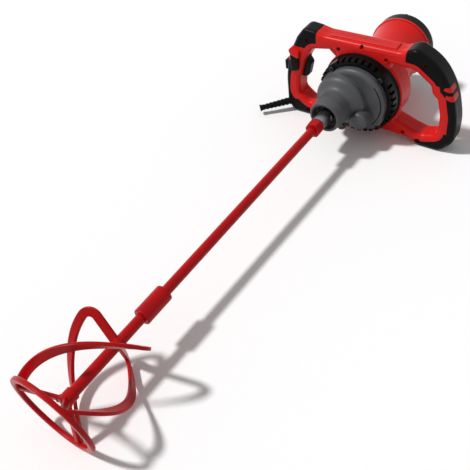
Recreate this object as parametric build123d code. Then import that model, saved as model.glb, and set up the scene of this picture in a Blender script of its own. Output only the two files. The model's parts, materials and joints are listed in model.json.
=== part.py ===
from build123d import *
import math
import os

# A two-handed electric paint mixer with a three-bladed whisk.
# +Y runs up the tool from the whisk to the motor, +X to the operator's right
# and +Z up, with the tool lying on the lower pads of its handles.
# The origin is the middle of the collar's mouth, on the spindle axis.
# All lengths are in millimetres, and every (x, z) pair is an axis along Y.

# ---- clearances ----
RUN_GAP = 0.05
FIT_GAP = 0.1
MOVE_GAP = 0.4
GEAR_BACKLASH = 0.1

# ---- axes ----
SPINDLE = (0.0, 0.0)
MOTOR_OFFSET = 18.0
MOTOR = (MOTOR_OFFSET, 0.0)

# ---- gear train ----
PRESSURE_ANGLE = math.radians(25)
ADDENDUM = 0.75
DEDENDUM = 1.0
FAST_MODULE = 1.0
MOTOR_PINION_TEETH = 10
LAY_WHEEL_TEETH = 48
SLOW_MODULE = 1.5
LAY_PINION_TEETH = 12
OUTPUT_TEETH = 46
FAST_CENTRES = FAST_MODULE * (MOTOR_PINION_TEETH + LAY_WHEEL_TEETH) / 2
SLOW_CENTRES = SLOW_MODULE * (LAY_PINION_TEETH + OUTPUT_TEETH) / 2
LAY_X = (SLOW_CENTRES**2 - FAST_CENTRES**2 + MOTOR_OFFSET**2) / (2 * MOTOR_OFFSET)
LAY = (LAY_X, -math.sqrt(SLOW_CENTRES**2 - LAY_X**2))
SLOW_GEAR_Y = 48.0
SLOW_GEAR_W = 13.0
FAST_GEAR_Y = 66.0
FAST_GEAR_W = 10.0
SHAFT_STEP = 1.5

# ---- gearbox casting ----
COLLAR_R = 25.5
MOUTH_R = 21.5
MOUTH_DEPTH = 13.0
NECK_R = 27.5
NECK_Y = 32.0
LOBE_R = 42.0
LOBE_Y = 54.0
LOBE_FLARE = 3.0
GEAR_ROOM = 2.4
LAY_LOBE_Y = 60.0
CAST_WALL = 3.2
FLANGE_R = 57.0
FLANGE_T = 5.0
SHOULDER_R = 54.0
SHOULDER_Y = 58.0
SHOULDER_ROUND = 7.0
GROOVE_R = 48.0
GROOVE_W = 1.8
GROOVE_DEPTH = 4.0
GROOVE_FROM = -48.0
GROOVE_TO = 42.0
PLATE_Y = 79.0
PLATE_T = 8.0
BOLT_R = 59.0
BOLT_ANGLES = (45, 135, 225, 315)
EAR_R = 4.5
SCREW_R = 2.5
SCREW_HEAD_R = 4.2
SCREW_HEAD_H = 4.0
GREASE = (4.0, -46.0)
GREASE_Y = 46.0
GREASE_L = 12.0
GREASE_SEAT_Y = GREASE_Y + 1.5
LUG_R = 7.0
LUG_HOLE_R = 3.5

# ---- spindle ----
NOSE_R = 11.5
NOSE_OUT = 19.5
NOSE_FLAT = 20.0
NOSE_FLAT_L = 24.0
JOURNAL_R = 8.5
GEAR_SEAT_R = 7.5
TAIL_R = 5.0
TAIL_END = 75.0
STUD_R = 6.0
STUD_L = 20.0
SEAL_T = 6.5
SEAL_R = 18.0
FRONT_BEARING_R = 20.0
FRONT_BEARING_W = 12.0
TAIL_BUSH_R = 7.0
TAIL_BUSH_W = 9.0

# ---- lay shaft ----
LAY_JOURNAL_R = 4.0
LAY_SHAFT_R = 6.0
LAY_BOSS_R = 15.0
LAY_BOSS_Y = 34.0
LAY_BUSH_R = 7.0
LAY_BUSH_W = 9.0
LAY_BEARING_R = 11.0
LAY_BEARING_W = 7.0

# ---- motor ----
ARM_SHAFT_R = 6.0
ARM_FRONT_R = 5.0
ARM_REAR_R = 4.0
ARM_FRONT_BEARING_R = 13.0
ARM_BEARING_W = 8.0
ARM_REAR_BEARING_R = 11.0
CORE_Y = 128.0
CORE_L = 54.0
AIR_GAP = 1.0
COIL_ROOM = 20.5
COMMUTATOR_R = 13.0
COMMUTATOR_Y = 198.0
COMMUTATOR_L = 15.0
FAN_R = 48.0
FAN_Y = 92.0
FAN_W = 8.0
FAN_BLADES = 11

# ---- vent ring and motor housing ----
RING_R = 67.0
RING_IN_R = 57.2
RING_Y = PLATE_Y + PLATE_T
RING_W = 12.0
RING_RIM = 2.5
RING_SLOTS = 36
RING_SLOT_W = 5.0
SHROUD_R = 65.0
SHROUD_Y = 70.0
SHROUD_SLOT_L = 9.0
SHROUD_SLOT_IN = 5.0
MOTOR_Y = RING_Y + RING_W
MOTOR_FLANGE_R = 66.0
MOTOR_FLANGE_T = 6.0
BARREL_R = 47.0
BARREL_WALL = 3.0
CORE_R = BARREL_R - COIL_ROOM
MOTOR_NECK_R = BARREL_R + 8.2
SEAM_R = BARREL_R + 5.5
SEAM_Y = 232.0
REAR_WALL = 4.0
REAR_BEARING_W = 7.0
REAR_BEARING_Y = SEAM_Y - 6.5
CAP_L = 20.0
CAP_WALL = 3.0
CAP_SCREW_ANGLES = (90, 210, 330)
CAP_SCREW_PITCH_R = BARREL_R + 0.5
CAP_SCREW_R = 1.8
CAP_SCREW_HEAD_R = 3.3
CAP_SCREW_SEAT = 3.0
CAP_SCREW_TIP = SEAM_Y - 12

# ---- handle frame: outlines are (x from the motor axis, z, corner radius) ----
FRAME_Y = 87.0
FRAME_W = 34.0
SPLIT_Y = FRAME_Y + FRAME_W / 2
EDGE_R = 7.0
SKIN = 2.5
SHELL_WALL = 2.5
HUB_R = 68.5
HUB_BACK = 6.0
TOP_Z = 82.0
FOOT_Z = -77.0
BELLY_Z = -66.0
RIGHT_REACH = 159.0
LEFT_REACH = 145.0
RIGHT_GRIP_W = 28.0
LEFT_GRIP_W = 28.0
FAR = 200.0
BAND = 11.0
RIGHT_BAND = 15.0
LEFT_BAND = 17.0
SWITCH_BAND = 9.0
SWITCH_LOW_Z = 9.0
SWITCH_TOP_Z = 26.0
GRIP_Z = 42.0
GRIP_LOW_Z = -40.0
CHEVRON_Z = 30.0
CHEVRON_STEPS = (-7.0, 7.0)
CHEVRON_W = 8.0
CHEVRON_DEPTH = 22.0
CHEVRON_REACH = 30.0
CHEVRON_LEAN = 14.0
PANEL_L = 110.0
SITE_SCREW_R = 1.8
SITE_HEAD_R = 3.4
SITE_SEAT_Y = FRAME_Y + 7.0
SITE_TIP_Y = FRAME_Y + FRAME_W - 5.0

# ---- trigger and lock button ----
TRIGGER_W = 13.0
TRIGGER_PIN = (32.0 - LEFT_REACH, 31.0)
TRIGGER_PIN_R = 2.0
BUTTON_W = 20.0
BUTTON_H = 17.0
BUTTON_Z = 10.0
BUTTON_PROUD = 4.0

# ---- speed dial and cord sleeve ----
DIAL = (26.0 - LEFT_REACH, 40.0)
DIAL_R = 9.0
DIAL_STEM_R = 2.5
DIAL_DEPTH = 3.5
DIAL_PROUD = 2.0
DIAL_GROOVES = 18
CORD_ROOT = (21.0 - LEFT_REACH, SPLIT_Y, -58.0)
CORD_WAY = (-50.0, -46.0, -5.0)
CORD_SLEEVE_L = 78.0
CORD_SLEEVE_R = 7.0
CORD_FLANGE_R = CORD_SLEEVE_R + 2.5
CORD_TIP_R = 4.8
CORD_BORE_R = 3.6
CORD_START = 8.0
CORD_RIBS = 7

# ---- whisk ----
ROD_R = 7.0
HEX_FLATS = 23.0
HEX_Y = -36.0
HEX_L = 16.0
ROD_SOCKET_END = HEX_Y + 12.0
SLEEVE_R = 12.0
SLEEVE_Y = -437.0
SLEEVE_L = 45.0
SHAFT_END = -566.0
WHISK_R = 60.0
RING_BAR_W = 8.0
RING_BAR_T = 6.0
RING_BASE = -588.0
BLADE_W = 12.0
BLADE_T = 4.4
BLADE_ROUND = 1.2
BLADE_TOP = -480.0
BLADE_SWEEP = 137.0
BLADE_BEND = 6.0
BLADE_STATIONS = 9
ARM_W = 9.2
ARM_T = 5.0
BLADE_COUNT = 3
BLADE_START = -78.0
HUB_TUBE_R = 8.8
HUB_TUBE_L = 14.0


# ---- shared construction ----
def across(y):
    """Sketch plane square to the tool: local x is X, local y is Z."""
    return Plane(origin=(0, y, 0), x_dir=(1, 0, 0), z_dir=(0, -1, 0))


def prism(face, start, end):
    """A face in X and Z, carried along Y from start to end."""
    return extrude(across(start) * face, amount=start - end)


def rod(radius, start, end, axis=SPINDLE):
    return prism(Pos(*axis) * Circle(radius), start, end)


def tube(outer, inner, start, end, axis=SPINDLE):
    return prism(Pos(*axis) * (Circle(outer) - Circle(inner)), start, end)


def turned(points, axis=SPINDLE):
    """Revolve (radius, y) points about an axis along Y."""
    face = make_face(Polyline(*points, close=True))
    return Pos(axis[0], 0, axis[1]) * revolve(face, Axis.Y)


def rounded_outline(stations):
    points = [(x, z) for x, z, r in stations]
    return make_face(FilletPolyline(*points, radius=[r for x, z, r in stations], close=True))


def polar(radius, degrees, axis=SPINDLE):
    angle = math.radians(degrees)
    return (axis[0] + radius * math.cos(angle), axis[1] + radius * math.sin(angle))


def outer_round(solid, radius, y):
    """Round every edge that lies in the plane at y."""
    edges = solid.edges().filter_by_position(Axis.Y, y - 0.01, y + 0.01)
    return fillet(edges, radius)


def one_solid(shape):
    """The largest solid of a cut, without loose chips."""
    return max(shape.solids(), key=lambda s: s.volume)


# ---- gears ----
def gear_face(module, teeth, phase, bore=0.0):
    pitch_r = module * teeth / 2
    base_r = pitch_r * math.cos(PRESSURE_ANGLE)
    tip_r = pitch_r + ADDENDUM * module
    root_r = pitch_r - DEDENDUM * module
    half_pitch_tooth = math.pi / (2 * teeth) - GEAR_BACKLASH / (2 * pitch_r)

    def involute(angle):
        return math.tan(angle) - angle

    def half_tooth(r):
        r = max(r, base_r)
        return half_pitch_tooth + involute(PRESSURE_ANGLE) - involute(math.acos(base_r / r))

    flank_start = max(base_r, root_r)
    flank = [root_r, flank_start, (flank_start + pitch_r) / 2, pitch_r, (pitch_r + tip_r) / 2, tip_r]
    if base_r <= root_r:
        flank = flank[1:]
    points = []
    for tooth in range(teeth):
        centre = phase + 2 * math.pi * tooth / teeth
        for r in flank:
            angle = centre - half_tooth(r)
            points.append((r * math.cos(angle), r * math.sin(angle)))
        for r in reversed(flank):
            angle = centre + half_tooth(r)
            points.append((r * math.cos(angle), r * math.sin(angle)))
    face = make_face(Polyline(*points, close=True))
    return face - Circle(bore) if bore else face


def mesh_angle(a, b):
    return math.atan2(b[1] - a[1], b[0] - a[0])


def output_gear():
    end = SLOW_GEAR_Y + SLOW_GEAR_W
    face = gear_face(SLOW_MODULE, OUTPUT_TEETH, mesh_angle(SPINDLE, LAY), GEAR_SEAT_R)
    web_out = SLOW_MODULE * OUTPUT_TEETH / 2 - 6
    web = tube(web_out, GEAR_SEAT_R + 5, SLOW_GEAR_Y, SLOW_GEAR_Y + 3)
    return prism(face, SLOW_GEAR_Y, end) - web - Pos(0, SLOW_GEAR_W - 3, 0) * web


def lay_wheel():
    face = gear_face(FAST_MODULE, LAY_WHEEL_TEETH, mesh_angle(LAY, MOTOR), LAY_SHAFT_R)
    return prism(Pos(*LAY) * face, FAST_GEAR_Y, FAST_GEAR_Y + FAST_GEAR_W)


def lay_shaft():
    phase = mesh_angle(LAY, SPINDLE) + math.pi / LAY_PINION_TEETH
    pinion_end = SLOW_GEAR_Y + SLOW_GEAR_W + SHAFT_STEP
    bush_end = LAY_BOSS_Y + CAST_WALL + LAY_BUSH_W
    teeth = gear_face(SLOW_MODULE, LAY_PINION_TEETH, phase)
    pinion = prism(Pos(*LAY) * teeth, bush_end + 1, pinion_end)
    front = rod(LAY_JOURNAL_R, LAY_BOSS_Y + CAST_WALL + 0.5, bush_end + 1, LAY)
    middle = rod(LAY_SHAFT_R, pinion_end, PLATE_Y - 0.5, LAY)
    back = rod(LAY_JOURNAL_R, PLATE_Y - 0.5, PLATE_Y + LAY_BEARING_W - 0.5, LAY)
    return pinion + front + middle + back


def armature_shaft():
    phase = mesh_angle(MOTOR, LAY) + math.pi / MOTOR_PINION_TEETH
    pinion_end = PLATE_Y - 1
    teeth = gear_face(FAST_MODULE, MOTOR_PINION_TEETH, phase)
    pinion = prism(Pos(*MOTOR) * teeth, FAST_GEAR_Y - 1, pinion_end)
    rear_end = SEAM_Y + 1
    steps = (
        rod(ARM_FRONT_R, pinion_end, FAN_Y - 1, MOTOR),
        rod(ARM_SHAFT_R, FAN_Y - 1, SEAM_Y - 7, MOTOR),
        rod(ARM_REAR_R, SEAM_Y - 7, rear_end, MOTOR),
    )
    return pinion + steps[0] + steps[1] + steps[2]


# ---- bearings, bushes and seal ----
def ring_bearing(bore_r, outer_r, start, width, axis):
    """A shielded bearing: a ring with a shallow groove in both faces."""
    groove_in = bore_r + (outer_r - bore_r) * 0.3
    groove_out = bore_r + (outer_r - bore_r) * 0.7
    depth = width * 0.06
    end = start + width
    points = [
        (bore_r, start), (groove_in, start), (groove_in, start + depth),
        (groove_out, start + depth), (groove_out, start), (outer_r, start),
        (outer_r, end), (groove_out, end), (groove_out, end - depth),
        (groove_in, end - depth), (groove_in, end), (bore_r, end),
    ]
    return turned(points, axis)


def seal_lip_ring():
    end = MOUTH_DEPTH + SEAL_T
    lip = JOURNAL_R + RUN_GAP
    points = [
        (SEAL_R, MOUTH_DEPTH), (SEAL_R, end), (SEAL_R - 3, end), (SEAL_R - 3, MOUTH_DEPTH + 2),
        (lip + 2, MOUTH_DEPTH + 2), (lip, MOUTH_DEPTH + 4), (lip, MOUTH_DEPTH),
    ]
    return turned(points)


# ---- spindle ----
def output_spindle():
    seal_y = MOUTH_DEPTH - 0.5
    tail_y = SLOW_GEAR_Y + SLOW_GEAR_W + 1
    body = rod(NOSE_R, -NOSE_OUT, seal_y) + rod(JOURNAL_R, seal_y, SLOW_GEAR_Y - 2)
    body += rod(GEAR_SEAT_R + 3, SLOW_GEAR_Y - 4, SLOW_GEAR_Y)
    body += rod(GEAR_SEAT_R, SLOW_GEAR_Y, tail_y) + rod(TAIL_R, tail_y, TAIL_END)
    for side in (-1, 1):
        flat = Pos(side * (NOSE_FLAT / 2 + NOSE_R), NOSE_FLAT_L / 2 - NOSE_OUT, 0)
        body -= flat * Box(2 * NOSE_R, NOSE_FLAT_L, 3 * NOSE_R)
    return body - rod(STUD_R, -NOSE_OUT - 1, STUD_L - NOSE_OUT + 2)


# ---- gearbox ----
def casting_outline(grow=0.0):
    """Flange outline: round about the motor, the spindle and the lay shaft."""
    face = Pos(*MOTOR) * Circle(FLANGE_R + grow) + Circle(LOBE_R + LOBE_FLARE + grow)
    face += Pos(*LAY) * Circle(wheel_room() + CAST_WALL + grow)
    for angle in BOLT_ANGLES:
        face += Pos(*polar(BOLT_R, angle, MOTOR)) * Circle(EAR_R + grow)
    return face


def wheel_room():
    return FAST_MODULE * LAY_WHEEL_TEETH / 2 + ADDENDUM * FAST_MODULE + GEAR_ROOM


def output_room():
    return SLOW_MODULE * OUTPUT_TEETH / 2 + ADDENDUM * SLOW_MODULE + GEAR_ROOM


def bolt_holes(radius, start, end):
    face = Sketch()
    for angle in BOLT_ANGLES:
        face += Pos(*polar(BOLT_R, angle, MOTOR)) * Circle(radius)
    return prism(face, start, end)


def clear_of_bolts(angle):
    """True when a slot at this angle runs beside no long screw."""
    near = min(abs((angle - bolt + 180) % 360 - 180) for bolt in BOLT_ANGLES)
    return near > 360 / RING_SLOTS * 0.9


def groove_arc():
    """Curved groove in the shoulder's front face, beside the lay shaft's lobe."""
    steps = [GROOVE_FROM + (GROOVE_TO - GROOVE_FROM) * share for share in (0, 0.5, 1)]
    outer = [polar(GROOVE_R + GROOVE_W, angle, MOTOR) for angle in steps]
    inner = [polar(GROOVE_R, angle, MOTOR) for angle in steps]
    edge = ThreePointArc(*outer) + Line(outer[2], inner[2])
    edge += ThreePointArc(*reversed(inner)) + Line(inner[0], outer[0])
    return prism(make_face(edge), SHOULDER_Y - 1, SHOULDER_Y + GROOVE_DEPTH)


def visible_outline(grow=0.0):
    """Outline of the casting where it leaves the shroud."""
    face = Pos(*MOTOR) * Circle(SHOULDER_R + grow) + Circle(LOBE_R + LOBE_FLARE + grow)
    face += Pos(*GREASE) * Circle(LUG_R + grow)
    return face + Pos(*LAY) * Circle(wheel_room() + CAST_WALL + grow)


def gear_shroud():
    """Black castellated ring round the casting's flange; the long screws clamp it."""
    flange_y = PLATE_Y - FLANGE_T
    face = Pos(*MOTOR) * Circle(SHROUD_R)
    lip = prism(face - visible_outline(FIT_GAP * 3), SHROUD_Y, flange_y)
    wall = prism(face - casting_outline(FIT_GAP * 3), flange_y, RING_Y)
    body = lip + wall
    slot = Pos(SHROUD_R + SHROUD_SLOT_IN, 0) * Rectangle(4 * SHROUD_SLOT_IN, RING_SLOT_W)
    slots = Sketch()
    pitch = 360 / RING_SLOTS
    for index in range(RING_SLOTS):
        angle = index * pitch
        if clear_of_bolts(angle):
            slots += Rot(0, 0, angle) * slot
    tooth_room = Circle(SHROUD_R + 4 * SHROUD_SLOT_IN) - Circle(SHROUD_R - SHROUD_SLOT_IN)
    body -= prism(Pos(*MOTOR) * (slots & tooth_room), SHROUD_Y - 1, SHROUD_Y + SHROUD_SLOT_L)
    body = one_solid(body)
    return body - bolt_holes(SCREW_R, SHROUD_Y - 1, RING_Y + 1)


def gearbox_housing():
    flange_y = PLATE_Y - FLANGE_T
    nose = Polyline((0, 0), (COLLAR_R - 1, 0), (COLLAR_R, 1), (NECK_R, MOUTH_DEPTH + 2), (NECK_R, NECK_Y))
    swell = Spline((NECK_R, NECK_Y), (LOBE_R, LOBE_Y), tangents=[(0, 1), (0, 1)])
    back = Polyline((LOBE_R, LOBE_Y), (LOBE_R + LOBE_FLARE, PLATE_Y), (0, PLATE_Y), (0, 0))
    body = revolve(make_face(nose + swell + back), Axis.Y)
    boss = fillet(rod(LAY_BOSS_R, LAY_BOSS_Y, flange_y, LAY).edges().sort_by(Axis.Y)[0], 6)
    lobe = rod(wheel_room() + CAST_WALL, LAY_LOBE_Y, flange_y, LAY)
    lobe = fillet(lobe.edges().sort_by(Axis.Y)[0], 5)
    shoulder = rod(SHOULDER_R, SHOULDER_Y, PLATE_Y, MOTOR)
    shoulder = fillet(shoulder.edges().sort_by(Axis.Y)[0], SHOULDER_ROUND)
    body = body + boss + lobe + shoulder + prism(casting_outline(), flange_y, PLATE_Y)
    body += grease_lug()
    bearing_y = MOUTH_DEPTH + SEAL_T
    bearing_end = bearing_y + FRONT_BEARING_W
    gear_y = SLOW_GEAR_Y - 1
    cone = turned([
        (0, bearing_end), (FRONT_BEARING_R + 2, bearing_end), (FRONT_BEARING_R + 2, bearing_end + 2),
        (output_room() - 1.5, gear_y), (output_room(), gear_y + 1.5), (output_room(), PLATE_Y), (0, PLATE_Y),
    ])
    bush_end = LAY_BOSS_Y + CAST_WALL + LAY_BUSH_W
    cuts = [
        rod(MOUTH_R, -1, MOUTH_DEPTH),
        rod(SEAL_R, MOUTH_DEPTH, bearing_y),
        rod(FRONT_BEARING_R, bearing_y, bearing_end),
        cone,
        groove_arc(),
        rod(LAY_BUSH_R, LAY_BOSS_Y + CAST_WALL, bush_end, LAY),
        rod(LAY_BUSH_R + 2, bush_end, gear_y + 1, LAY),
        rod(SLOW_MODULE * LAY_PINION_TEETH / 2 + GEAR_ROOM, gear_y, PLATE_Y, LAY),
        rod(wheel_room(), FAST_GEAR_Y - 2, PLATE_Y, LAY),
        rod(FAST_MODULE * MOTOR_PINION_TEETH, FAST_GEAR_Y - 3, PLATE_Y, MOTOR),
        bolt_holes(SCREW_R, flange_y - 1, PLATE_Y + 1),
        bolt_holes(SCREW_HEAD_R + MOVE_GAP, SHOULDER_Y - 6, flange_y),
        rod(LUG_R, GREASE_Y - 12, GREASE_SEAT_Y, GREASE),
        rod(LUG_HOLE_R, GREASE_Y - 1, GREASE_Y + GREASE_L, GREASE),
    ]
    return body - cuts


def grease_lug():
    """A lug under the main lobe that takes the grease plug."""
    return rod(LUG_R, GREASE_SEAT_Y, PLATE_Y - 1, GREASE)


def grease_plug():
    head = rod(LUG_R - 1, GREASE_Y - 3, GREASE_SEAT_Y, GREASE)
    head = chamfer(head.edges().sort_by(Axis.Y)[0], 1)
    slot = Pos(GREASE[0], GREASE_Y - 3, GREASE[1]) * Box(2 * LUG_R, 3, 1.6)
    return head - slot + rod(LUG_HOLE_R, GREASE_SEAT_Y, GREASE_Y + GREASE_L - 1, GREASE)


def gearbox_plate():
    end = PLATE_Y + PLATE_T
    boss_y = FAST_GEAR_Y - 2
    body = prism(casting_outline(), PLATE_Y, end)
    body -= prism(Pos(*MOTOR) * (Circle(RING_R * 2) - Circle(BOLT_R + EAR_R)), PLATE_Y, end)
    body += rod(TAIL_BUSH_R + 3.5, boss_y, PLATE_Y)
    body += rod(ARM_FRONT_BEARING_R + 3.5, end, end + 3, MOTOR)
    body += rod(LAY_BEARING_R + 3, end, end + 2, LAY)
    cuts = [
        rod(TAIL_BUSH_R, boss_y, boss_y + TAIL_BUSH_W),
        rod(TAIL_BUSH_R - 1, boss_y + TAIL_BUSH_W, TAIL_END + 2),
        rod(LAY_BEARING_R, PLATE_Y - 1, PLATE_Y + LAY_BEARING_W, LAY),
        rod(ARM_FRONT_R + 2, PLATE_Y - 1, end + 4, MOTOR),
        rod(ARM_FRONT_BEARING_R, PLATE_Y + 1.5, PLATE_Y + 1.5 + ARM_BEARING_W, MOTOR),
        bolt_holes(SCREW_R, PLATE_Y - 1, end + 1),
    ]
    cover = rod(ARM_FRONT_BEARING_R, PLATE_Y + 1.5, end + 4, MOTOR)
    return body - cuts - cover


def gearbox_screws():
    seat = SHROUD_Y
    group = []
    for angle in BOLT_ANGLES:
        axis = polar(BOLT_R, angle, MOTOR)
        head = rod(SCREW_HEAD_R, seat - SCREW_HEAD_H, seat, axis)
        head = fillet(head.edges().sort_by(Axis.Y)[0], 1)
        socket = prism(Pos(*axis) * RegularPolygon(2, 6), seat - SCREW_HEAD_H - 1, seat - 1.5)
        group.append(head - socket + rod(SCREW_R, seat, MOTOR_Y + MOTOR_FLANGE_T - 1, axis))
    return Compound(children=group)


# ---- vent ring ----
def vent_ring():
    end = RING_Y + RING_W
    body = tube(RING_R, RING_IN_R, RING_Y, end, MOTOR)
    front_edges = body.edges().filter_by(GeomType.CIRCLE).sort_by(Axis.Y)[:2]
    body = chamfer(front_edges.sort_by(SortBy.LENGTH)[-1], 1.5)
    slot = Pos((RING_R + RING_IN_R) / 2 + RING_RIM, 0) * Rectangle(RING_R - RING_IN_R, RING_SLOT_W)
    pitch = 360 / RING_SLOTS
    slots = Sketch()
    for index in range(RING_SLOTS):
        angle = index * pitch
        if clear_of_bolts(angle):
            slots += Rot(0, 0, angle) * slot
    body -= prism(Pos(*MOTOR) * slots, RING_Y + RING_RIM, end + 1)
    inner = Sketch()
    for index in range(RING_SLOTS // 2):
        angle = index * 2 * pitch
        if clear_of_bolts(angle):
            inner += Rot(0, 0, angle) * Pos(RING_IN_R, 0) * Rectangle(RING_R - RING_IN_R, RING_SLOT_W - 1)
    body -= prism(Pos(*MOTOR) * inner, RING_Y + RING_W / 2, end + 1)
    bosses = Sketch()
    for angle in BOLT_ANGLES:
        bosses += Pos(*polar(BOLT_R, angle, MOTOR)) * Circle(EAR_R)
    body += prism(bosses, RING_Y, end)
    return body - bolt_holes(SCREW_R, RING_Y - 1, end + 1)


# ---- motor ----
def motor_housing():
    flange_end = MOTOR_Y + MOTOR_FLANGE_T
    frame_end = FRAME_Y + FRAME_W
    outer = [
        (0, MOTOR_Y), (MOTOR_FLANGE_R, MOTOR_Y), (MOTOR_FLANGE_R, flange_end), (MOTOR_NECK_R, flange_end),
        (MOTOR_NECK_R, frame_end + 2),
    ]
    swell = Spline(
        (MOTOR_NECK_R, frame_end + 2), (BARREL_R, frame_end + 34), (SEAM_R - 1.5, SEAM_Y - 4),
        tangents=[(-0.8, 1), (0.25, 1)],
    )
    seam = [(SEAM_R - 1.5, SEAM_Y - 4), (SEAM_R, SEAM_Y - 4), (SEAM_R, SEAM_Y), (0, SEAM_Y), (0, MOTOR_Y)]
    face = make_face(Polyline(*outer) + swell + Polyline(*seam))
    body = Pos(MOTOR[0], 0, MOTOR[1]) * revolve(face, Axis.Y)
    bore = BARREL_R - BARREL_WALL
    wall_y = SEAM_Y - REAR_WALL - 6
    boss_r = ARM_REAR_BEARING_R + 4
    body -= [
        rod(FAN_R + 3, MOTOR_Y - 1, MOTOR_Y + 4, MOTOR),
        rod(bore, MOTOR_Y, wall_y, MOTOR),
        bolt_holes(SCREW_R, MOTOR_Y - 1, flange_end - 1),
        tube(bore, boss_r, wall_y + REAR_WALL, SEAM_Y + 1, MOTOR),
        rod(ARM_REAR_BEARING_R, SEAM_Y - 7, SEAM_Y + 1, MOTOR),
        rod(ARM_REAR_R + 3, wall_y - 1, SEAM_Y, MOTOR),
    ]
    holes = Sketch()
    for index in range(6):
        holes += Pos(*polar((bore + boss_r) / 2, 60 * index, MOTOR)) * Circle(8)
    body -= prism(holes, wall_y - 1, SEAM_Y)
    for angle in CAP_SCREW_ANGLES:
        body -= rod(CAP_SCREW_R, CAP_SCREW_TIP, SEAM_Y + 1, polar(CAP_SCREW_PITCH_R, angle, MOTOR))
    return body


def rear_cap():
    end = SEAM_Y + CAP_L
    outer_r = SEAM_R - 0.5
    body = rod(outer_r, SEAM_Y, end, MOTOR)
    body = fillet(body.edges().sort_by(Axis.Y)[-1], 6)
    hollow = rod(outer_r - CAP_WALL, SEAM_Y, end - CAP_WALL, MOTOR)
    body -= hollow
    slots = Sketch()
    for index in range(12):
        slots += Rot(0, 0, 30 * index + 15) * Pos(28, 0) * SlotOverall(22, 4)
    body -= prism(Pos(*MOTOR) * slots, end - CAP_WALL - 1, end + 1)
    for angle in CAP_SCREW_ANGLES:
        axis = polar(CAP_SCREW_PITCH_R, angle, MOTOR)
        body += rod(CAP_SCREW_HEAD_R + 1.2, SEAM_Y, end - CAP_WALL, axis)
        body -= rod(CAP_SCREW_R, SEAM_Y - 1, end + 1, axis)
        body -= rod(CAP_SCREW_HEAD_R + 0.3, end - CAP_SCREW_SEAT, end + 1, axis)
    return body


def rear_cap_screws():
    seat = SEAM_Y + CAP_L - CAP_SCREW_SEAT
    group = []
    for angle in CAP_SCREW_ANGLES:
        axis = polar(CAP_SCREW_PITCH_R, angle, MOTOR)
        group.append(pan_screw(axis, seat, CAP_SCREW_TIP, CAP_SCREW_HEAD_R, CAP_SCREW_R, 2.0))
    return Compound(children=group)


def pan_screw(axis, seat, tip, head_r, shank_r, head_h):
    """A cross-head screw; its head lies away from the tip."""
    outward = 1 if seat > tip else -1
    top = seat + outward * head_h
    head = rod(head_r, min(seat, top), max(seat, top), axis)
    rim = head.edges().sort_by(Axis.Y)[-1 if outward > 0 else 0]
    head = fillet(rim, head_h * 0.35)
    cross = Box(head_r * 1.2, 1.6, 0.9) + Box(0.9, 1.6, head_r * 1.2)
    head -= Pos(axis[0], top, axis[1]) * cross
    return head + rod(shank_r, min(seat, tip), max(seat, tip), axis)


def field_stator():
    bore = BARREL_R - BARREL_WALL
    pole_r = CORE_R + AIR_GAP
    ring = Circle(bore) - Circle(bore - 5)
    poles = (Circle(bore) - Circle(pole_r)) & (Rectangle(3 * bore, 30))
    return prism(Pos(*MOTOR) * (ring + poles), CORE_Y, CORE_Y + CORE_L)


def field_coils():
    bore = BARREL_R - BARREL_WALL - 5
    inner = CORE_R + AIR_GAP
    half = Rectangle(4 * bore, 15 + 15)
    band = (Circle(bore - FIT_GAP) - Circle(inner)) - half
    upper = band & (Pos(0, bore) * Rectangle(4 * bore, 2 * bore))
    lower = band & (Pos(0, -bore) * Rectangle(4 * bore, 2 * bore))
    coils = [
        prism(Pos(*MOTOR) * part, CORE_Y - 7, CORE_Y + CORE_L + 7) for part in (upper, lower)
    ]
    return Compound(children=[one_solid(c) for c in coils])


def armature_core():
    slots = Sketch()
    for index in range(12):
        slots += Rot(0, 0, 30 * index) * Pos(CORE_R - 4, 0) * Rectangle(8.2, 3)
    face = Circle(CORE_R) - slots - Circle(ARM_SHAFT_R)
    return prism(Pos(*MOTOR) * face, CORE_Y, CORE_Y + CORE_L)


def commutator():
    slots = Sketch()
    for index in range(24):
        slots += Rot(0, 0, 15 * index) * Pos(COMMUTATOR_R, 0) * Rectangle(1.2, 0.6)
    face = Circle(COMMUTATOR_R) - slots - Circle(ARM_SHAFT_R)
    return prism(Pos(*MOTOR) * face, COMMUTATOR_Y, COMMUTATOR_Y + COMMUTATOR_L)


def cooling_fan():
    disc_t = 2.0
    body = tube(FAN_R, ARM_SHAFT_R, FAN_Y + FAN_W - disc_t, FAN_Y + FAN_W, MOTOR)
    body += tube(11, ARM_SHAFT_R, FAN_Y, FAN_Y + FAN_W, MOTOR)
    blade = Pos((FAN_R + 24) / 2, 0) * Rectangle(FAN_R - 24, 1.8)
    blades = Sketch()
    for index in range(FAN_BLADES):
        blades += Rot(0, 0, 360 / FAN_BLADES * index) * blade
    return body + prism(Pos(*MOTOR) * blades, FAN_Y, FAN_Y + FAN_W - disc_t)


def brush_parts():
    holders = []
    brushes = []
    bore = BARREL_R - BARREL_WALL
    middle = COMMUTATOR_Y + COMMUTATOR_L / 2
    for side in (-1, 1):
        low = COMMUTATOR_R + 2
        span = math.sqrt(bore**2 - 5.5**2) - FIT_GAP - low
        centre = (MOTOR[0], middle, side * (low + span / 2))
        holder = Pos(*centre) * Box(11, 13, span) - Pos(*centre) * Box(7, 9, span + 2)
        brush_l = 20.0
        brush_z = side * (COMMUTATOR_R + 0.3 + brush_l / 2)
        brush = Pos(MOTOR[0], middle, brush_z) * Box(7 - FIT_GAP, 9 - FIT_GAP, brush_l)
        holders.append(holder)
        brushes.append(brush)
    return Compound(children=holders), Compound(children=brushes)


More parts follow.
